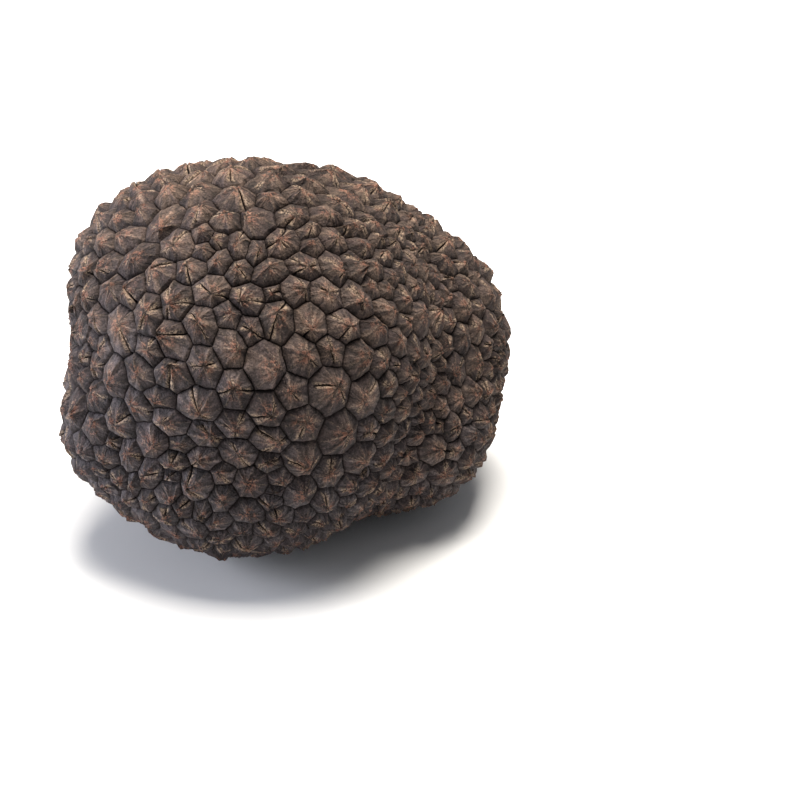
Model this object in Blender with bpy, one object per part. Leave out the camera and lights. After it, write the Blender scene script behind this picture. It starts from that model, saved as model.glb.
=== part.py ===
"""A whole black truffle, as dug: one solid whose skin is raised in polygonal warts.

The body is a few rounded lobes that have grown together. Its surface is shared out among seeds,
one for each wart; every share is a polygon with grooves along its sides, a steep rim inside the
grooves, and a low pyramid on the rim. The warts that meet the floor are pressed flat on it.
"""

import math

import bmesh
import bpy
import numpy as np
from mathutils import Vector, noise

MM = 0.001

# Driving dimensions, in millimetres, with the floor at z = 0 and the broad side along x.
# Each lobe is an ellipsoid: its centre, then its half-widths along x, y and z.
LOBES = {
    "crown": ((-4.0, -1.5, 33.0), (29.5, 29.5, 29.2)),
    "brow": ((-15.8, 3.5, 42.1), (18.8, 18.5, 16.8)),
    "bridge": ((9.6, 8.5, 41.7), (13.5, 14.0, 14.0)),
    "rear": ((13.0, 12.0, 24.5), (24.3, 21.5, 24.0)),
    "heel": ((17.5, 1.5, 16.8), (17.0, 16.0, 15.5)),
    "cheek": ((-21.8, -8.0, 22.0), (14.4, 14.5, 13.7)),
    "foot": ((-5.9, -13.0, 18.6), (22.5, 16.5, 16.5)),
    "sole": ((-1.4, 0.8, 14.0), (17.5, 17.0, 15.0)),
}
CORE = Vector((0.0, 1.0, 29.0))  # a point inside from which the whole skin is in plain sight
LOBE_BLEND = 1.9  # how far two lobes flow into each other
LONGEST_REACH = 60.0  # further out than any skin
SWELL_HEIGHT = 0.45  # shallow swells that keep the lobes from looking turned
SWELL_SPAN = 15.0

WART_COUNT = 660
FRONT_WART = 5.0  # how wide the warts are in front, on the rear lobe and behind
REAR_LOBE_WART = 3.6
BACK_WART = 5.3
SPREAD_SAMPLES = 16000
SPREAD_STEPS = 3
SEED = 28

GROOVE_DEPTH = 0.85  # from the even skin down to the bottom of a groove
RIM_WIDTH = 0.45  # the steep side of a wart
RIM_RISE = 0.8  # from the groove's bottom to the rim
PEAK_RISE = (0.6, 1.4)  # from the rim to the point of the pyramid, for a small and a large wart
PEAK_STRAY = 0.18  # how far the point strays from the middle, as a share of the wart's width
GROOVE_CLEARANCE = 0.35  # how far above the floor the grooves stay between the warts pressed flat on it

SKIN_COLOUR = (0.052, 0.036, 0.030, 1.0)


def clear_scene():
    for obj in list(bpy.data.objects):
        bpy.data.objects.remove(obj, do_unlink=True)


def depth_outside(points):
    """How far each point is outside the blended lobes, roughly, in millimetres."""
    closeness = np.zeros(len(points))
    for centre, half_widths in LOBES.values():
        offset = points - np.array(centre)
        scaled = np.linalg.norm(offset / np.array(half_widths), axis=1)
        slope = np.linalg.norm(offset / np.square(half_widths), axis=1)
        closeness += np.exp(-scaled * (scaled - 1.0) / np.maximum(slope, 1e-9) / LOBE_BLEND)
    return -LOBE_BLEND * np.log(closeness)


def swell(point):
    return SWELL_HEIGHT * noise.noise(Vector(point) / SWELL_SPAN)


def skin_points(directions):
    """Where the even skin lies in each direction from the core."""
    core = np.array(CORE)
    near = np.zeros(len(directions))
    far = np.full(len(directions), LONGEST_REACH)
    for _ in range(30):
        middle = (near + far) / 2
        inside = depth_outside(core + directions * middle[:, None]) < 0
        near = np.where(inside, middle, near)
        far = np.where(inside, far, middle)
    points = core + directions * near[:, None]
    lift = np.array([swell(point) for point in points])
    return points + directions * lift[:, None]


def unit(vectors):
    return vectors / np.linalg.norm(vectors, axis=-1, keepdims=True)


def smooth_step(value, low, high):
    share = np.clip((value - low) / (high - low), 0.0, 1.0)
    return share * share * (3.0 - 2.0 * share)


def wart_width(points):
    """The width that a wart has on each point of the skin."""
    backward = smooth_step(points[:, 1], -2.0, 26.0)
    rearward = smooth_step(points[:, 0], 8.0, 20.0) * (1.0 - 0.6 * backward)
    return FRONT_WART + (BACK_WART - FRONT_WART) * backward + (REAR_LOBE_WART - FRONT_WART) * rearward


def even_directions(count):
    """Directions spread evenly over a ball, in a spiral from pole to pole."""
    turn = math.pi * (3.0 - math.sqrt(5.0))
    step = np.arange(count)
    height = 1.0 - (2.0 * step + 1.0) / count
    ring = np.sqrt(1.0 - height**2)
    return np.stack([ring * np.cos(turn * step), ring * np.sin(turn * step), height], axis=1)


def wart_seeds():
    """One direction for each wart, scattered and then moved apart until their shares of skin suit wart_width."""
    directions = even_directions(SPREAD_SAMPLES)
    samples = skin_points(directions)
    reach = np.linalg.norm(samples - np.array(CORE), axis=1)
    share = reach**2 / wart_width(samples) ** 2
    pull = share / wart_width(samples) ** 2  # keeps the small warts small as they are moved apart
    scatter = np.random.default_rng(SEED)
    picked = scatter.choice(SPREAD_SAMPLES, WART_COUNT, replace=False, p=share / share.sum())
    seeds = samples[picked]
    for _ in range(SPREAD_STEPS):
        gap = (samples**2).sum(1)[:, None] - 2 * samples @ seeds.T + (seeds**2).sum(1)[None, :]
        owner = gap.argmin(axis=1)
        weight = np.bincount(owner, pull, WART_COUNT)
        middle = np.stack([np.bincount(owner, pull * samples[:, k], WART_COUNT) for k in range(3)], axis=1)
        seeds = skin_points(unit(middle / weight[:, None] - np.array(CORE)))
    return unit(seeds - np.array(CORE))


def wart_outlines(seeds):
    """A mesh on the even skin with one polygon for each wart: its corners lie between three seeds."""
    net = bmesh.new()
    for direction in seeds:
        net.verts.new(direction)
    bmesh.ops.convex_hull(net, input=net.verts)
    for vertex, point in zip(net.verts, skin_points(np.array([v.co for v in net.verts]))):
        vertex.co = point
    bmesh.ops.beautify_fill(net, faces=net.faces, edges=net.edges, method="AREA")
    net.normal_update()
    net.faces.index_update()
    between = np.array([face.calc_center_median() - CORE for face in net.faces])
    outlines = bmesh.new()
    corners = [outlines.verts.new(point) for point in skin_points(unit(between))]
    for seed in net.verts:
        side = seed.normal.orthogonal().normalized()
        other = seed.normal.cross(side)

        def bearing(face, seed=seed, side=side, other=other):
            offset = face.calc_center_median() - seed.co
            return math.atan2(offset.dot(other), offset.dot(side))

        outlines.faces.new([corners[face.index] for face in sorted(seed.link_faces, key=bearing)])
    net.free()
    outlines.normal_update()
    return outlines


def raise_warts(skin):
    """Turns each outline into a wart: grooves along its sides, a rim inside them, and a pyramid on the rim.

    Returns the corners that the grooves run between.
    """
    corners = set(skin.verts)
    for corner in corners:
        corner.co -= corner.normal * GROOVE_DEPTH
    warts = list(skin.faces)
    bmesh.ops.inset_individual(skin, faces=warts, thickness=RIM_WIDTH, depth=RIM_RISE, use_even_offset=True)
    scatter = np.random.default_rng(SEED + 1)
    for wart in warts:
        width = math.sqrt(wart.calc_area())
        rise = np.interp(width, (0.6 * FRONT_WART, FRONT_WART), PEAK_RISE) * scatter.uniform(0.75, 1.15)
        stray = Vector(scatter.normal(size=3)) * PEAK_STRAY * width
        normal = wart.normal.copy()
        peak = bmesh.ops.poke(skin, faces=[wart], offset=rise)["verts"][0]
        peak.co += stray - normal * stray.dot(normal)
    return corners


def rest_on_floor(skin, corners):
    """Presses flat what would reach below the floor, and centres the truffle's box over the origin."""
    for point in skin.verts:
        point.co.z = max(point.co.z, GROOVE_CLEARANCE if point in corners else 0.0)
    for axis in (0, 1):
        across = [point.co[axis] for point in skin.verts]
        middle = (min(across) + max(across)) / 2
        for point in skin.verts:
            point.co[axis] -= middle


def skin_material():
    material = bpy.data.materials.new("truffle_skin")
    material.use_nodes = True
    shader = material.node_tree.nodes["Principled BSDF"]
    shader.inputs["Base Color"].default_value = SKIN_COLOUR
    shader.inputs["Roughness"].default_value = 0.72
    shader.inputs["Metallic"].default_value = 0.0
    return material


def build_truffle():
    skin = wart_outlines(wart_seeds())
    corners = raise_warts(skin)
    rest_on_floor(skin, corners)
    for point in skin.verts:
        point.co *= MM
    bmesh.ops.recalc_face_normals(skin, faces=skin.faces)
    mesh = bpy.data.meshes.new("truffle")
    skin.to_mesh(mesh)
    skin.free()
    truffle = bpy.data.objects.new("truffle", mesh)
    bpy.context.scene.collection.objects.link(truffle)
    truffle.data.materials.append(skin_material())
    return truffle


clear_scene()
build_truffle()
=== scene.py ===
"""The looks of a whole black truffle, as dug, on the plain floor of a small studio.

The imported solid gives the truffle's lobes and the place, rim and point of every wart. TruffleSkin
stretches a finer skin over them: narrow grooves, cracked and finely ribbed pyramids, crumbled points.
PeridiumFinish gives that skin its dark, dry, bark-like surface, and Studio the floor, light and camera.
"""

import logging
import math
import random
from dataclasses import dataclass, field
from enum import Enum
from typing import Any, Iterable

import bmesh
import bpy
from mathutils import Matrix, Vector, noise


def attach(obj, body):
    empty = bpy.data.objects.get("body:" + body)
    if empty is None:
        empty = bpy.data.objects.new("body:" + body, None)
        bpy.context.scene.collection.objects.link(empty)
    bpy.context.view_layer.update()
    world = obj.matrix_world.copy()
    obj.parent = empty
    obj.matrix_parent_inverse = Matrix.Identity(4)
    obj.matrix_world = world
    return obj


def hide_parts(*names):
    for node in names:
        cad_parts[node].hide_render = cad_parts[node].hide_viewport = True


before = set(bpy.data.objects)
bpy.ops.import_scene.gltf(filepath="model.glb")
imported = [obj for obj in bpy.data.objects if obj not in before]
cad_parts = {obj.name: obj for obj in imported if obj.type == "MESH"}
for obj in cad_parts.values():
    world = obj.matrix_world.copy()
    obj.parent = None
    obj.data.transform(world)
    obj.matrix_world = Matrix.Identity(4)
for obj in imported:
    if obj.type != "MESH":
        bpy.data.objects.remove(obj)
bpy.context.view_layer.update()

LOG = logging.getLogger("truffle")
MM = 0.001
NODE = "truffle"
BODY = "root"
SEED_STEP = 0.02 * MM  # far more than two runs differ by
PLACE_MAP = "wart_place"  # where each corner lies on its wart, in millimetres from the point
RELIEF_MAP = "wart_relief"  # how far up its wart it is, how deep in a crack, the wart's tone, how near an edge
SHEET_MAP = "OFBake"  # where it lies on the six square sheets that the skin is laid out on


def srgb(colour: str) -> tuple[float, float, float, float]:
    """Turns an sRGB hex colour into the linear one that the shaders take.

    Args:
        colour: Six hex digits after a #.

    Returns:
        Linear red, green and blue, and an alpha of 1.
    """
    channels = (int(colour[start : start + 2], 16) / 255 for start in (1, 3, 5))
    red, green, blue = (c / 12.92 if c <= 0.04045 else ((c + 0.055) / 1.055) ** 2.4 for c in channels)
    return red, green, blue, 1.0


def smooth_step(value: float, low: float, high: float) -> float:
    """Rises smoothly from 0 at low to 1 at high."""
    share = min(max((value - low) / (high - low), 0.0), 1.0)
    return share * share * (3.0 - 2.0 * share)


def middle_of(points: Iterable[Vector]) -> Vector:
    """The mean of some points."""
    points = list(points)
    return sum(points, Vector()) / len(points)


class Breakage(Enum):
    """How a wart has given way as the truffle swelled and dried."""

    WHOLE = "whole"
    CRACKED = "cracked"
    SPLIT = "split"
    CRUMBLED = "crumbled"


@dataclass
class Wart:
    """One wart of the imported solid, in metres.

    Its chance is seeded by its place, so that one wart never changes another.

    Attributes:
        outline: The groove's corners round it, in order.
        rims: The rim's corner beside each of them.
        apex: The point of its pyramid.
        normal: The way it faces.
        luck: Its own source of chance.
        tone: A number from 0 to 1 of its own.
        breakage: How it has given way.
    """

    outline: list[bmesh.types.BMVert]
    rims: list[Vector]
    apex: Vector
    normal: Vector
    luck: random.Random = field(default_factory=random.Random)
    tone: float = 0.0
    breakage: Breakage = Breakage.WHOLE

    def __post_init__(self) -> None:
        """Seeds the wart's chance by its place."""
        across, back, up = (round(value / SEED_STEP) for value in self.apex)
        self.luck = random.Random(across * 7919 + back * 104729 + up)
        self.tone = self.luck.random()


@dataclass
class PackedSkin:
    """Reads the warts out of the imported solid's triangles.

    Attributes:
        weld: How near two corners of loose triangles are the same point.
        groove_lift: A point is in a groove if its neighbours stand this far above it.
    """

    weld: float = 0.002 * MM
    groove_lift: float = 0.03 * MM

    def in_groove(self, point: bmesh.types.BMVert) -> bool:
        """Whether a point lies at the bottom of a groove."""
        around = middle_of(edge.other_vert(point).co for edge in point.link_edges)
        return (around - point.co).dot(point.normal) > self.groove_lift

    def clusters(self, waiting: dict[bmesh.types.BMVert, None]) -> Iterable[list[bmesh.types.BMVert]]:
        """Shares out points into those that hang together along edges.

        Args:
            waiting: The points, which are taken out as they are shared out.

        Yields:
            The points of one cluster, in the same order each run.
        """
        while waiting:
            cluster = [waiting.popitem()[0]]
            for point in cluster:
                for edge in point.link_edges:
                    other = edge.other_vert(point)
                    if other in waiting:
                        del waiting[other]
                        cluster.append(other)
            yield cluster

    def wart(self, skin: bmesh.types.BMesh, members: list[bmesh.types.BMVert]) -> Wart:
        """Reads one wart, and reduces it to one polygon.

        Its points and faces are gone through in lists, because a set's order changes from run to run.

        Args:
            skin: The welded solid.
            members: The wart's own points: its rim and its peak.

        Returns:
            The wart.
        """
        own = set(members)
        faces = list(dict.fromkeys(face for point in members for face in point.link_faces))
        normal = sum((face.normal * face.calc_area() for face in faces), Vector()).normalized()
        peaks = [p for p in members if all(e.other_vert(p) in own for e in p.link_edges)]
        apex = middle_of(p.co for p in peaks or members)
        rim_of = {}
        for corner in dict.fromkeys(corner for face in faces for corner in face.verts):
            if corner not in own:
                beside = [e.other_vert(corner).co for e in corner.link_edges if e.other_vert(corner) in own]
                rim_of[corner] = min(beside, key=lambda co: (co - corner.co).length).copy()
        polygon = bmesh.ops.dissolve_faces(skin, faces=faces, use_verts=False)["region"][0]
        outline = [loop.vert for loop in polygon.loops]
        return Wart(outline, [rim_of[corner] for corner in outline], apex, normal)

    def read(self, mesh: bpy.types.Mesh) -> tuple[bmesh.types.BMesh, list[Wart]]:
        """Reduces the solid to one polygon for each wart.

        Args:
            mesh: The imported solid's mesh, which stays as it is.

        Returns:
            The polygons, which meet along the bottoms of the grooves, and the warts on them.
        """
        skin = bmesh.new()
        skin.from_mesh(mesh)
        bmesh.ops.remove_doubles(skin, verts=skin.verts, dist=self.weld)
        skin.normal_update()
        raised = dict.fromkeys(point for point in skin.verts if not self.in_groove(point))
        return skin, [self.wart(skin, members) for members in list(self.clusters(raised))]


@dataclass(frozen=True)
class Ring:
    """A ring of points round a wart, between the bottom of its groove and its point.

    Attributes:
        inward: The share of the way from the groove in to the rim.
        upward: The share of the way from the groove up to the rim.
        onward: The share of the way from the rim to the point.
        relief: How far up the wart the ring counts as, from 0 in the groove to 1 at the point.
    """

    inward: float
    upward: float
    onward: float
    relief: float


@dataclass
class Spoke:
    """One line up a wart, from its groove to its point.

    Attributes:
        foot: Where it leaves the bottom of the groove.
        rim: Where it passes the rim.
        corner: 1 on a ridge between two faces of the pyramid, and less beside it.
        rib: How far it stands proud of the pyramid's face.
        step: How far the shard that it lies on has been pushed up.
        crack: How deep it is cracked, and 0 where it is whole.
        span: The shares of the way from the rim to the point between which the crack is open.
    """

    foot: Vector
    rim: Vector
    corner: float
    rib: float
    step: float = 0.0
    crack: float = 0.0
    span: tuple[float, float] = (0.0, 1.0)

    def opening(self, onward: float) -> float:
        """How deep the crack is at one share of the way from the rim to the point."""
        low, high = self.span
        return self.crack * smooth_step(onward, low - 0.1, low + 0.2) * smooth_step(-onward, -high - 0.1, -high + 0.2)


@dataclass
class TruffleSkin:
    """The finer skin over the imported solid's warts.

    Attributes:
        spoke_gap: The distance between two spokes along a groove, underneath and elsewhere.
        underneath: The heights between which the one gives way to the other.
        wander: How far a groove strays from a straight line.
        wander_span: The length over which it does.
        rings: The rings of points up each wart.
        ridge: How far the ridges stand up between the pyramid's faces.
        rib: How far the ribs stand up on them.
        stray: How far a point strays sideways on its wart.
        ledge: How far one side of a crack stands above the other.
        lift: How much less and more than its share a wart stands out.
        plate_span: The width of the tilted plates that a wart's skin has broken into.
        plate_tilt: How far they tilt, in front and on the rear lobe.
        rearward: Where along x the one gives way to the other.
        swell: How far the faces of a pyramid sink in or bulge out.
        crumble: How far a crumbled point is torn up and down.
        torn: The share of that by which any other point is torn.
        blunt: How much of the very point has worn off.
        crack_depth: The depths of the shallowest and the deepest crack.
        crack_width: How wide a crack opens.
        peak_crack: The share of a crack's depth that reaches the point.
        breakage: The share of the warts that have given way in each way.
        seed: What the wandering of grooves and points is drawn by; noise_vector changes from run to run without it.
        core: A point inside from which nearly the whole skin is in sight.
        sheet_fill: How much of its place a sheet of the laid-out skin fills.
    """

    spoke_gap: tuple[float, float] = (0.9 * MM, 0.68 * MM)
    underneath: tuple[float, float] = (4.0 * MM, 14.0 * MM)
    wander: float = 0.2 * MM
    wander_span: float = 1.3 * MM
    rings: tuple[Ring, ...] = (
        Ring(0.2, 0.42, 0.0, 0.07),
        Ring(0.85, 0.9, 0.0, 0.18),
        Ring(1.0, 1.0, 0.22, 0.36),
        Ring(1.0, 1.0, 0.52, 0.6),
        Ring(1.0, 1.0, 0.8, 0.84),
    )
    ridge: float = 0.2 * MM
    rib: float = 0.07 * MM
    stray: float = 0.16 * MM
    ledge: float = 0.5 * MM
    lift: tuple[float, float] = (-0.15 * MM, 0.2 * MM)
    plate_span: float = 1.3 * MM
    plate_tilt: tuple[float, float] = (0.4 * MM, 0.65 * MM)
    rearward: tuple[float, float] = (2.0 * MM, 18.0 * MM)
    swell: tuple[float, float] = (-0.12 * MM, 0.15 * MM)
    crumble: float = 0.24 * MM
    torn: float = 0.45
    blunt: tuple[float, float] = (0.0, 0.35 * MM)
    crack_depth: tuple[float, float] = (0.6 * MM, 1.1 * MM)
    crack_width: float = 0.5 * MM
    peak_crack: float = 0.4
    breakage: dict[Breakage, float] = field(
        default_factory=lambda: {
            Breakage.WHOLE: 0.2,
            Breakage.CRACKED: 0.42,
            Breakage.SPLIT: 0.24,
            Breakage.CRUMBLED: 0.14,
        }
    )
    seed: int = 28
    core: Vector = field(default_factory=lambda: Vector((0.0, 0.0, 29.0)) * MM)
    sheet_fill: float = 0.94

    def divide_grooves(self, skin: bmesh.types.BMesh) -> None:
        """Cuts the straight grooves into short lengths, and lets them wander a little.

        Args:
            skin: The warts' polygons, whose edges are the grooves.
        """
        for edge in list(skin.edges):
            height = middle_of(corner.co for corner in edge.verts).z
            wide, narrow = self.spoke_gap
            gap = wide + (narrow - wide) * smooth_step(height, *self.underneath)
            parts = max(2, round(edge.calc_length() / gap))
            start = edge.verts[0]
            for left in range(parts, 1, -1):
                end = edge.other_vert(start)
                edge, point = bmesh.utils.edge_split(edge, start, 1.0 / left)
                stray = noise.noise_vector(point.co / self.wander_span) * self.wander
                point.co += stray - point.normal * stray.dot(point.normal)
                edge = next(e for e in point.link_edges if e.other_vert(point) is end)
                start = point

    def spokes(self, wart: Wart, face: bmesh.types.BMFace) -> list[Spoke]:
        """Lays out the spokes of a wart.

        Args:
            wart: The wart.
            face: Its polygon, with the grooves cut into short lengths.

        Returns:
            The spokes, in the order of the polygon's corners.
        """
        feet = [loop.vert for loop in face.loops]
        rim_of = dict(zip(wart.outline, wart.rims))
        corners = [n for n, foot in enumerate(feet) if foot in rim_of]
        spokes: dict[int, Spoke] = {}
        for here, after in zip(corners, corners[1:] + [corners[0] + len(feet)]):
            first, last = feet[here], feet[after % len(feet)]
            for n in range(here, after):
                share = (n - here) / (after - here)
                foot = feet[n % len(feet)].co.copy()
                stray = foot - first.co.lerp(last.co, share)
                rim = rim_of[first].lerp(rim_of[last], share) + stray * 0.6
                corner = max(0.0, 1.0 - 2.2 * min(share, 1.0 - share))
                spokes[n % len(feet)] = Spoke(foot, rim, corner, self.rib * wart.luck.uniform(-1.0, 1.0))
        return [spokes[n] for n in range(len(feet))]

    def crack(self, wart: Wart, spokes: list[Spoke]) -> None:
        """Chooses how a wart has given way, and which of its spokes are cracked.

        Args:
            wart: The wart.
            spokes: Its spokes.
        """
        kinds = list(self.breakage)
        wart.breakage = wart.luck.choices(kinds, [self.breakage[kind] for kind in kinds])[0]
        count = len(spokes)
        lowest = min(range(count), key=lambda n: spokes[n].foot.z)
        start = (lowest + wart.luck.randrange(count)) % count
        depth = wart.luck.uniform(*self.crack_depth)
        if wart.breakage is Breakage.SPLIT:
            for turn in (start, start + count // 2 + wart.luck.choice((-1, 0, 1))):
                spoke = spokes[turn % count]
                spoke.crack = depth
                spoke.span = (wart.luck.choice((-0.5, -0.5, 0.15)), 1.2)
        elif wart.breakage is not Breakage.WHOLE:
            for n in range(wart.luck.choice((1, 1, 2, 3))):
                turn = start + round(n * count / 3 + wart.luck.uniform(-1.5, 1.5))
                spoke = spokes[turn % count]
                spoke.crack = depth * wart.luck.uniform(0.6, 1.0)
                outer = wart.luck.choice((-0.5, -0.5, 0.1, 0.3))
                spoke.span = (outer, wart.luck.uniform(max(outer, 0.0) + 0.45, 1.05))
        self.shift_shards(wart, spokes)

    def shift_shards(self, wart: Wart, spokes: list[Spoke]) -> None:
        """Tilts the shards between the cracks, so that each crack has a high and a low side.

        Args:
            wart: The wart.
            spokes: Its spokes, some of them cracked.
        """
        count = len(spokes)
        cracked = [n for n, spoke in enumerate(spokes) if spoke.crack]
        ledges = [wart.luck.uniform(0.3, 1.0) * wart.luck.choice((-1, 1)) * self.ledge / 2 for _ in cracked]
        for n, start in enumerate(cracked):
            end = cracked[(n + 1) % len(cracked)]
            between = (end - start) % count or count
            for turn in range(1, between):
                share = turn / between
                spokes[(start + turn) % count].step = ledges[n] * (1 - share) - ledges[(n + 1) % len(ledges)] * share

    def plate_height(self, point: Vector) -> float:
        """How far the tilted plate at a point stands out there.

        Args:
            point: A point of the skin.

        Returns:
            The height, which is below 0 on a plate's low side.
        """
        place = point / self.plate_span
        centre = noise.voronoi(place)[1][0]
        tilt = noise.cell_vector(centre * 31.0) - Vector((0.5, 0.5, 0.5))  # each plate leans its own way
        front, rear = self.plate_tilt
        return (place - centre).dot(tilt) * (front + (rear - front) * smooth_step(point.x, *self.rearward))

    def ring_points(self, wart: Wart, spokes: list[Spoke], ring: Ring, swell: float, lift: float) -> list[Vector]:
        """Places one ring's points, before its cracks are opened.

        Args:
            wart: The wart.
            spokes: Its spokes.
            ring: The ring.
            swell: How far the faces of the wart's pyramid bulge.
            lift: How much more than its share the wart stands out.

        Returns:
            A point for each spoke.
        """
        torn = 1.0 if wart.breakage is Breakage.CRUMBLED else self.torn
        hump = 4.0 * ring.onward * (1.0 - ring.onward)
        points = []
        for spoke in spokes:
            rise = spoke.rim - spoke.foot
            upward = wart.normal * rise.dot(wart.normal)
            point = spoke.foot + (rise - upward) * ring.inward + upward * ring.upward
            height = hump * (swell + self.ridge * spoke.corner) + spoke.rib * ring.upward * (1.0 - 0.6 * ring.onward)
            height += torn * self.crumble * wart.luck.uniform(-1.0, 0.7) * smooth_step(ring.onward, 0.1, 0.8)
            height += spoke.step * smooth_step(ring.onward, -0.2, 0.3)
            point = point.lerp(wart.apex, ring.onward)
            height += lift * ring.upward + self.plate_height(point) * smooth_step(ring.relief, 0.05, 0.4)
            aside = noise.noise_vector(point / self.wander_span) * self.stray * ring.upward
            points.append(point + aside + wart.normal * (height - aside.dot(wart.normal)))
        return points

    def open_cracks(
        self, wart: Wart, spokes: list[Spoke], points: list[Vector], onward: float
    ) -> list[tuple[float, float]]:
        """Draws a ring together at its cracks and sinks it into them.

        Args:
            wart: The wart.
            spokes: Its spokes.
            points: The ring's points, which are moved.
            onward: The share of the way from the rim to the point.

        Returns:
            For each point, how deep it lies in a crack, and how much it lies on an edge.
        """
        depths = [spoke.opening(onward) for spoke in spokes]
        # the edge mark paints crack lips and ridges pale: partly worn skin, partly a painted highlight
        edges = [0.5 * spoke.corner for spoke in spokes]
        for n, depth in enumerate(depths):
            if depth > 0.05 * MM:
                width = self.crack_width * depth / spokes[n].crack
                for side in (n - 1, (n + 1) % len(points)):
                    away = points[side] - points[n]
                    points[side] = points[n] + away * min(1.0, width / 2 / max(away.length, 1e-9))
                    edges[side] = 1.0
        for n, depth in enumerate(depths):
            points[n] = points[n] - wart.normal * depth
        return list(zip(depths, edges))

    def raise_rings(
        self, skin: bmesh.types.BMesh, warts: list[Wart]
    ) -> dict[bmesh.types.BMVert, tuple[float, float, float]]:
        """Raises every wart from its polygon, ring by ring, to its point.

        Args:
            skin: The warts' polygons, in the order of the warts.
            warts: The warts.

        Returns:
            For each point, how far up its wart it is, how deep in a crack, and how much it lies on an edge.
        """
        number = skin.faces.layers.int.new("wart")
        face_of = {frozenset(wart.outline): n for n, wart in enumerate(warts)}
        corners = {corner for wart in warts for corner in wart.outline}
        faces = list(skin.faces)
        for face in faces:
            face[number] = face_of[frozenset(loop.vert for loop in face.loops if loop.vert in corners)]
        faces.sort(key=lambda face: face[number])
        swells = [wart.luck.uniform(*self.swell) for wart in warts]
        lifts = [wart.luck.uniform(*self.lift) for wart in warts]
        spokes = []
        for wart, face in zip(warts, faces):
            spokes.append(self.spokes(wart, face))
            self.crack(wart, spokes[-1])
        marks = {point: (0.0, 0.0, 0.0) for point in skin.verts}
        for ring in self.rings:
            faces = bmesh.ops.extrude_discrete_faces(skin, faces=faces)["faces"]
            faces.sort(key=lambda face: face[number])
            onward = ring.onward or 0.2 * (ring.upward - 1.0)  # below 0 outside the rim
            for wart, face, own, swell, lift in zip(warts, faces, spokes, swells, lifts):
                points = self.ring_points(wart, own, ring, swell, lift)
                openings = self.open_cracks(wart, own, points, onward)
                for loop, point, (depth, edge) in zip(face.loops, points, openings):
                    loop.vert.co = point
                    # the crack's depth is painted as shade in it, and its edges as a partly painted highlight
                    marks[loop.vert] = (ring.relief, depth / self.crack_depth[1], edge)
        for peak in bmesh.ops.poke(skin, faces=faces)["verts"]:
            place = peak.link_faces[0][number]
            depth = max(spoke.opening(1.0) for spoke in spokes[place])
            blunt = warts[place].luck.uniform(*self.blunt)
            peak.co = warts[place].apex + warts[place].normal * (lifts[place] - self.peak_crack * depth - blunt)
            # a cracked point keeps a little painted shade from its crack
            marks[peak] = (1.0, 0.3 * depth / self.crack_depth[1], 0.5)  # a mark that leaves the point brown
        return marks

    def write_maps(
        self, skin: bmesh.types.BMesh, warts: list[Wart], marks: dict[bmesh.types.BMVert, tuple[float, float, float]]
    ) -> None:
        """Writes what the finish reads: each corner's place on its wart, its relief and its wart's tone.

        Args:
            skin: The raised skin.
            warts: The warts.
            marks: What raise_rings says of each point.
        """
        number = skin.faces.layers.int["wart"]
        place = skin.loops.layers.uv.new(PLACE_MAP)
        relief = skin.loops.layers.float_color.new(RELIEF_MAP)
        for face in skin.faces:
            wart = warts[face[number]]
            across = wart.normal.orthogonal().normalized()
            along = wart.normal.cross(across)
            for loop in face.loops:
                offset = (loop.vert.co - wart.apex) / MM
                loop[place].uv = (offset.dot(across), offset.dot(along))
                height, depth, edge = marks[loop.vert]
                loop[relief] = (height, depth, wart.tone, edge)
        skin.faces.layers.int.remove(number)

    def lay_out(self, skin: bmesh.types.BMesh) -> None:
        """Lays the skin out on six square sheets, one for each side of a box round it, as for a baked texture.

        Args:
            skin: The raised skin.
        """
        sheets = skin.loops.layers.uv.new(SHEET_MAP)
        per_angle = self.sheet_fill / (math.pi / 2)
        for face in skin.faces:
            toward = face.calc_center_median() - self.core
            axis = max(range(3), key=lambda n: abs(toward[n]))
            across, along = (n for n in range(3) if n != axis)
            row = int(toward[axis] > 0)
            turned = 1 if row == (axis != 1) else -1
            for loop in face.loops:
                offset = loop.vert.co - self.core
                right = turned * math.atan2(offset[across], abs(offset[axis])) * per_angle
                up = math.atan2(offset[along], abs(offset[axis])) * per_angle
                loop[sheets].uv = ((axis + 0.5 + right) / 3, (row + 0.5 + up) / 2)

    def build(self) -> bpy.types.Object:
        """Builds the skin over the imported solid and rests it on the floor.

        Returns:
            The skin, still without its finish.
        """
        noise.seed_set(self.seed)
        skin, warts = PackedSkin().read(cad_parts[NODE].data)
        self.divide_grooves(skin)
        marks = self.raise_rings(skin, warts)
        for point in skin.verts:
            point.co.z = max(point.co.z, 0.0)
        self.write_maps(skin, warts, marks)
        self.lay_out(skin)
        skin.normal_update()
        mesh = bpy.data.meshes.new("truffle_skin")
        skin.to_mesh(mesh)
        skin.free()
        mesh.shade_smooth()
        mesh.set_sharp_from_angle(angle=math.radians(20))
        piece = bpy.data.objects.new("truffle_skin", mesh)
        bpy.context.scene.collection.objects.link(piece)
        return piece


def add_node(tree: bpy.types.NodeTree, kind: str, inputs: dict[Any, Any] | None = None, **settings: Any) -> Any:
    """Adds a node with its settings, values and links.

    Args:
        tree: The material's nodes.
        kind: The node's type.
        inputs: For each input, by name or number, a value or the output that feeds it.
        settings: The node's own settings.

    Returns:
        The node.
    """
    node = tree.nodes.new(kind)
    for name, value in settings.items():
        setattr(node, name, value)
    for name, value in (inputs or {}).items():
        if isinstance(value, bpy.types.NodeSocket):
            tree.links.new(value, node.inputs[name])
        else:
            node.inputs[name].default_value = value
    return node


@dataclass(frozen=True)
class Ramp:
    """A rise from one factor to another as a pattern rises from start to end.

    Attributes:
        pattern: The name of the pattern.
        start: Where the rise starts.
        end: Where it ends.
        low: The factor at the start.
        high: The factor at the end.
        shape: How it rises.
    """

    pattern: str
    start: float
    end: float
    low: float = 0.0
    high: float = 1.0
    shape: str = "SMOOTHSTEP"


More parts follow.
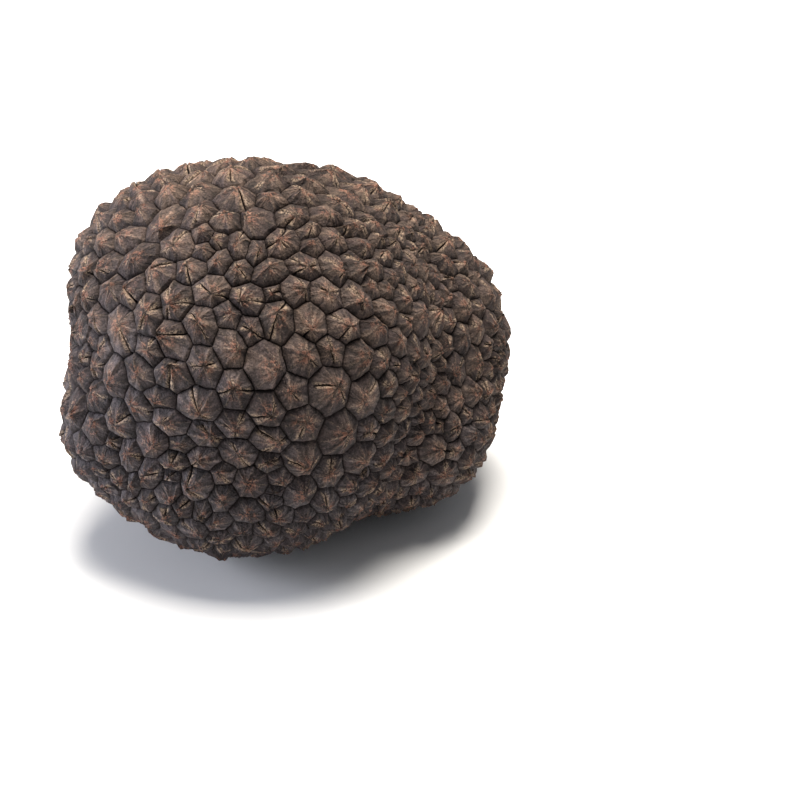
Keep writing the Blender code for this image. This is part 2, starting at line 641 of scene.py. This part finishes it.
@dataclass(frozen=True)
class Tint:
    """A colour laid over those below it.

    Attributes:
        colour: The colour.
        ways: It shows wherever all the ramps of one of these are up.
    """

    colour: str
    ways: tuple[tuple[Ramp, ...], ...]


@dataclass(frozen=True)
class Patches:
    """A noise that fills the truffle with patches.

    Attributes:
        span: How wide they are, in millimetres.
        detail: How many finer noises lie on it.
        roughness: How strong those are.
    """

    span: float
    detail: float
    roughness: float = 0.5


@dataclass(frozen=True)
class PeridiumFinish:
    """Peridium, the outer skin of a truffle, as it has grown, cracked and dried.

    It is hard and matt, close to black on the slopes of the warts and brown towards their points, where
    fine pale ribs run together and the broken skin is rusty. The top is warmed by painted warm light, the pale
    of ribs and edges is partly worn skin and partly painted highlight, and the grooves and cracks are darkest,
    as painted shade.

    Attributes:
        name: The material's name.
        slopes: The colour of the slopes low on the truffle.
        shades: What is laid over it, from the warmer slopes on top, painted warm light from above, to the darker
            facets.
        light: How the fine patterns and each wart's own tone lighten and darken all that.
        wear_and_painted_light: What is laid over the whole: rust, pale edges and ribs, partly worn and partly a painted
            highlight, and painted shade in what is sunk.
        roughness: The roughness of dry, grained bark.
        gloss: The shader's specular level, low because pores swallow the light.
        painted_light_gain: How the painted warm light's warmer colours gain along x, y and z, for each metre.
        mottle: How unevenly they do.
        rib_span: The distance between two ribs halfway up a wart, in millimetres.
        patches: The waves that keep the ribs from running straight, the grains of the dry skin, the crumbs
            that it breaks into, and the warmer and cooler stretches.
        relief: How high each fine pattern stands, in millimetres.
    """

    name: str = "truffle_peridium"
    slopes: str = "#474143"
    shades: tuple[Tint, ...] = (
        # painted warm light from above: the first tint warms the slopes, the second browns the warts' points, as far as
        # it reaches
        Tint("#4f4139", ((Ramp("painted_top_light", 0.0, 0.45),),)),
        Tint("#675449", ((Ramp("height", 0.2, 0.75), Ramp("painted_top_light", -0.15, 0.35)),)),
        Tint("#2b2223", ((Ramp("facets", 0.42, 0.58, 0.0, 0.68),),)),
    )
    light: tuple[Ramp, ...] = (
        Ramp("streaks", 0.3, 0.7, 0.4, 1.6),
        Ramp("grain", 0.28, 0.72, 0.55, 1.45),
        Ramp("crumbs", 0.3, 0.7, 0.8, 1.2),
        Ramp("tone", 0.0, 1.0, 0.64, 0.94, "LINEAR"),
    )
    wear_and_painted_light: tuple[Tint, ...] = (
        Tint("#895b49", ((Ramp("height", 0.3, 0.85), Ramp("crumbs", 0.47, 0.57), Ramp("grain", 0.4, 0.55, 0.0, 0.7)),)),
        # pale crack lips, ridges and rib crests: partly worn skin, partly a painted highlight
        Tint(
            "#a38c76",
            (
                (Ramp("edge", 0.3, 0.9), Ramp("height", 0.1, 0.3), Ramp("grain", 0.4, 0.6, 0.0, 0.72)),
                (Ramp("streaks", 0.56, 0.66), Ramp("grain", 0.45, 0.6), Ramp("height", 0.2, 0.8, 0.0, 0.72)),
            ),
        ),
        # painted shade: the bottoms of the grooves and the cracks are painted near black, where shade falls in them
        Tint("#180e0a", ((Ramp("height", 0.1, -0.02),), (Ramp("crack", 0.05, 0.5),))),
    )
    roughness: float = 0.78
    gloss: float = 0.25
    painted_light_gain: tuple[float, float, float] = (3.5, 3.0, 8.0)
    mottle: float = 0.6
    rib_span: float = 0.3
    patches: dict[str, Patches] = field(
        default_factory=lambda: {
            "drift": Patches(0.9, 1.0),
            "grain": Patches(0.3, 4.0, 0.65),
            "crumbs": Patches(0.9, 3.0, 0.6),
            "mottle": Patches(7.0, 3.0),
        }
    )
    relief: dict[str, float] = field(default_factory=lambda: {"grain": 0.18, "streaks": 0.42, "crumbs": 0.5})

    def radial_patterns(self, tree: bpy.types.NodeTree, tone: Any, drift: Any) -> dict[str, Any]:
        """Makes the patterns that run from the point of each wart down to its groove.

        A noise is read on a cylinder: round it by the bearing from the wart's point, and slowly along it
        on the way down, from a height of the wart's own. So it runs in ribs, and in facets if it is coarse.

        Args:
            tree: The material's nodes.
            tone: Each wart's own number.
            drift: The colours of the noise that bends them.

        Returns:
            The outputs of the patterns by name.
        """
        place = add_node(tree, "ShaderNodeUVMap", uv_map=PLACE_MAP).outputs[0]
        drift = add_node(tree, "ShaderNodeVectorMath", {0: drift, 1: (0.5, 0.5, 0.5)}, operation="SUBTRACT").outputs[0]
        bent = {0: drift, 1: (1.0, 1.0, 0.0), 2: place}
        bearing = add_node(tree, "ShaderNodeVectorMath", bent, operation="MULTIPLY_ADD").outputs[0]
        bearing = add_node(tree, "ShaderNodeVectorMath", {0: bearing}, operation="NORMALIZE").outputs[0]
        radius = 1.2 / self.rib_span  # 1.2 mm is halfway up a wart
        bearing = add_node(tree, "ShaderNodeVectorMath", {0: bearing, 3: radius}, operation="SCALE").outputs[0]
        reach = add_node(tree, "ShaderNodeVectorMath", {0: place}, operation="LENGTH").outputs["Value"]
        down = add_node(tree, "ShaderNodeMath", {0: reach, 1: 0.35}, operation="MULTIPLY").outputs[0]
        along = add_node(tree, "ShaderNodeMath", {0: tone, 1: 91.0, 2: down}, operation="MULTIPLY_ADD").outputs[0]
        along = add_node(tree, "ShaderNodeCombineXYZ", {2: along}).outputs[0]
        cylinder = add_node(tree, "ShaderNodeVectorMath", {0: bearing, 1: along}, operation="ADD").outputs[0]
        ribs = {"Vector": cylinder, "Scale": 1.0, "Detail": 3.0, "Roughness": 0.6}
        facets = {"Vector": cylinder, "Scale": 0.28, "Detail": 1.0}
        return {
            "streaks": add_node(tree, "ShaderNodeTexNoise", ribs).outputs[0],
            "facets": add_node(tree, "ShaderNodeTexNoise", facets).outputs[0],
        }

    def patterns(self, tree: bpy.types.NodeTree) -> dict[str, Any]:
        """Makes all the patterns that the ramps read.

        Args:
            tree: The material's nodes.

        Returns:
            The outputs of the patterns by name.
        """
        relief = add_node(tree, "ShaderNodeAttribute", attribute_name=RELIEF_MAP)
        parts = add_node(tree, "ShaderNodeSeparateColor", {0: relief.outputs["Color"]}).outputs
        found = {"height": parts[0], "crack": parts[1], "tone": parts[2], "edge": relief.outputs["Alpha"]}
        place = add_node(tree, "ShaderNodeTexCoord").outputs["Object"]
        for name, patch in self.patches.items():
            inputs = {"Vector": place, "Scale": 1.0 / (patch.span * MM)}
            inputs |= {"Detail": patch.detail, "Roughness": patch.roughness}
            patchwork = add_node(tree, "ShaderNodeTexNoise", inputs)
            found[name] = patchwork.outputs["Color" if name == "drift" else 0]
        mottle = {0: found["mottle"], 1: self.mottle, 2: -self.mottle / 2}
        mottle = add_node(tree, "ShaderNodeMath", mottle, operation="MULTIPLY_ADD").outputs[0]
        # painted warm light: the warmer colours gain towards the top lamp, mostly upwards, and unevenly by the mottle
        painted_top_light = {0: place, 1: self.painted_light_gain}
        painted_top_light = add_node(tree, "ShaderNodeVectorMath", painted_top_light, operation="DOT_PRODUCT").outputs["Value"]
        found["painted_top_light"] = add_node(tree, "ShaderNodeMath", {0: painted_top_light, 1: mottle}, operation="ADD").outputs[0]
        return found | self.radial_patterns(tree, found["tone"], found["drift"])

    def factor(self, tree: bpy.types.NodeTree, patterns: dict[str, Any], ramps: tuple[Ramp, ...]) -> Any:
        """Multiplies some ramps together.

        Args:
            tree: The material's nodes.
            patterns: The outputs of the patterns by name.
            ramps: The ramps.

        Returns:
            The output of their product.
        """
        product: Any = None
        for ramp in ramps:
            rise = {"Value": patterns[ramp.pattern], "From Min": ramp.start, "From Max": ramp.end}
            rise |= {"To Min": ramp.low, "To Max": ramp.high}
            rise = add_node(tree, "ShaderNodeMapRange", rise, interpolation_type=ramp.shape).outputs[0]
            if product is not None:
                rise = add_node(tree, "ShaderNodeMath", {0: product, 1: rise}, operation="MULTIPLY").outputs[0]
            product = rise
        return product

    def lay(self, tree: bpy.types.NodeTree, patterns: dict[str, Any], body: Any, tints: tuple[Tint, ...]) -> Any:
        """Lays tints over a colour, one after the other.

        Args:
            tree: The material's nodes.
            patterns: The outputs of the patterns by name.
            body: The colour, or the output that gives it.
            tints: The tints.

        Returns:
            The output of the colour that they give.
        """
        for tint in tints:
            cover = self.factor(tree, patterns, tint.ways[0])
            for way in tint.ways[1:]:
                other = self.factor(tree, patterns, way)
                cover = add_node(tree, "ShaderNodeMath", {0: cover, 1: other}, operation="MAXIMUM").outputs[0]
            layers = {0: cover, 6: body, 7: srgb(tint.colour)}
            body = add_node(tree, "ShaderNodeMix", layers, data_type="RGBA").outputs[2]
        return body

    def material(self) -> bpy.types.Material:
        """Makes the material.

        Returns:
            The material.
        """
        material = bpy.data.materials.new(self.name)
        material.use_nodes = True
        tree = material.node_tree
        shader = tree.nodes["Principled BSDF"]
        shader.inputs["Roughness"].default_value = self.roughness
        shader.inputs["Specular IOR Level"].default_value = self.gloss
        patterns = self.patterns(tree)
        body = self.lay(tree, patterns, srgb(self.slopes), self.shades)
        lit = {0: body, 3: self.factor(tree, patterns, self.light)}
        body = add_node(tree, "ShaderNodeVectorMath", lit, operation="SCALE").outputs[0]
        body = self.lay(tree, patterns, body, self.wear_and_painted_light)
        tree.links.new(body, shader.inputs["Base Color"])
        height: Any = 0.0
        for pattern, rise in self.relief.items():
            rise = {0: patterns[pattern], 1: rise, 2: height}
            height = add_node(tree, "ShaderNodeMath", rise, operation="MULTIPLY_ADD").outputs[0]
        bump = add_node(tree, "ShaderNodeBump", {"Height": height, "Distance": MM, "Strength": 1.0})
        tree.links.new(bump.outputs[0], shader.inputs["Normal"])
        return material


@dataclass(frozen=True)
class FloorFinish:
    """Matt white wall paint, rolled on: even, without a sheen, a little below white so that it holds shadows."""

    name: str = "floor_paint"
    colour: str = "#e2e2e2"
    roughness: float = 0.6

    def material(self) -> bpy.types.Material:
        """Makes the material.

        Returns:
            The material.
        """
        material = bpy.data.materials.new(self.name)
        material.use_nodes = True
        shader = material.node_tree.nodes["Principled BSDF"]
        shader.inputs["Base Color"].default_value = srgb(self.colour)
        shader.inputs["Roughness"].default_value = self.roughness
        return material


@dataclass(frozen=True)
class Lamp:
    """A square soft lamp.

    Attributes:
        name: Its name.
        place: Where it hangs.
        side: How wide it is.
        power: Its power in watts.
        colour: The colour of its light.
    """

    name: str
    place: tuple[float, float, float]
    side: float
    power: float
    colour: str

    def hang(self, target: Vector) -> None:
        """Hangs the lamp, facing a target.

        Args:
            target: What it shines on.
        """
        light = bpy.data.lights.new(self.name, "AREA")
        light.size = self.side
        light.energy = self.power
        light.color = srgb(self.colour)[:3]
        lamp = bpy.data.objects.new(self.name, light)
        lamp.location = self.place
        lamp.rotation_euler = (target - lamp.location).to_track_quat("-Z", "Y").to_euler()
        bpy.context.scene.collection.objects.link(lamp)


@dataclass
class Studio:
    """A plain pale floor, soft light from above and a camera that looks down on the truffle.

    Attributes:
        floor_side: The side of the floor.
        lamps: The lamps: one overhead, and a weaker one from the left.
        air: The colour of the light from all round.
        air_strength: How strong it is.
        target: What the camera looks at, right of the truffle and low on it.
        distance: How far off the camera stands.
        elevation: How steeply it looks down, in degrees.
        lens: Its focal length in millimetres.
        clip: How near and how far it sees.
    """

    floor_side: float = 6.0
    lamps: tuple[Lamp, ...] = (
        Lamp("top_softbox", (0.03, 0.08, 0.7), 0.4, 13.2, "#fffaf2"),
        Lamp("left_fill", (-0.66, 0.02, 0.14), 0.4, 8.4, "#eef2ff"),
    )
    air: str = "#f1f4fa"
    air_strength: float = 0.3
    target: Vector = field(default_factory=lambda: Vector((18.5, -1.2, 21.2)) * MM)
    distance: float = 500.0 * MM
    elevation: float = 30.0
    lens: float = 135.0
    clip: tuple[float, float] = (0.01, 20.0)

    def camera(self) -> None:
        """Stands the camera up."""
        camera = bpy.data.objects.new("camera", bpy.data.cameras.new("camera"))
        bpy.context.scene.collection.objects.link(camera)
        tilt = math.radians(self.elevation)
        back = Vector((0.0, -math.cos(tilt), math.sin(tilt)))
        camera.location = self.target + back * self.distance
        camera.rotation_euler = (math.pi / 2 - tilt, 0.0, 0.0)
        camera.data.lens = self.lens
        camera.data.clip_start, camera.data.clip_end = self.clip
        bpy.context.scene.camera = camera

    def floor(self) -> None:
        """Lays the floor."""
        ground = bmesh.new()
        bmesh.ops.create_grid(ground, x_segments=1, y_segments=1, size=self.floor_side / 2)
        mesh = bpy.data.meshes.new("floor")
        ground.to_mesh(mesh)
        ground.free()
        floor = bpy.data.objects.new("floor", mesh)
        bpy.context.scene.collection.objects.link(floor)
        mesh.materials.append(FloorFinish().material())

    def world(self) -> None:
        """Fills the studio with even light from all round."""
        world = bpy.data.worlds.new("studio_air")
        world.use_nodes = True
        background = world.node_tree.nodes["Background"]
        background.inputs["Color"].default_value = srgb(self.air)
        background.inputs["Strength"].default_value = self.air_strength
        bpy.context.scene.world = world

    def build(self) -> None:
        """Sets the whole studio up."""
        self.camera()
        self.floor()
        for lamp in self.lamps:
            lamp.hang(self.target)
        self.world()
        bpy.context.scene.view_settings.view_transform = "Standard"


def main() -> None:
    """Builds the studio and the truffle's skin."""
    logging.basicConfig(level=logging.INFO, format="%(name)s: %(message)s")
    Studio().build()
    skin = TruffleSkin().build()
    skin.data.materials.append(PeridiumFinish().material())
    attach(skin, BODY)
    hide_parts(NODE)
    triangles = sum(len(face.vertices) - 2 for face in skin.data.polygons)
    LOG.info("%s: %d triangles", skin.name, triangles)


if __name__ == "__main__":
    main()
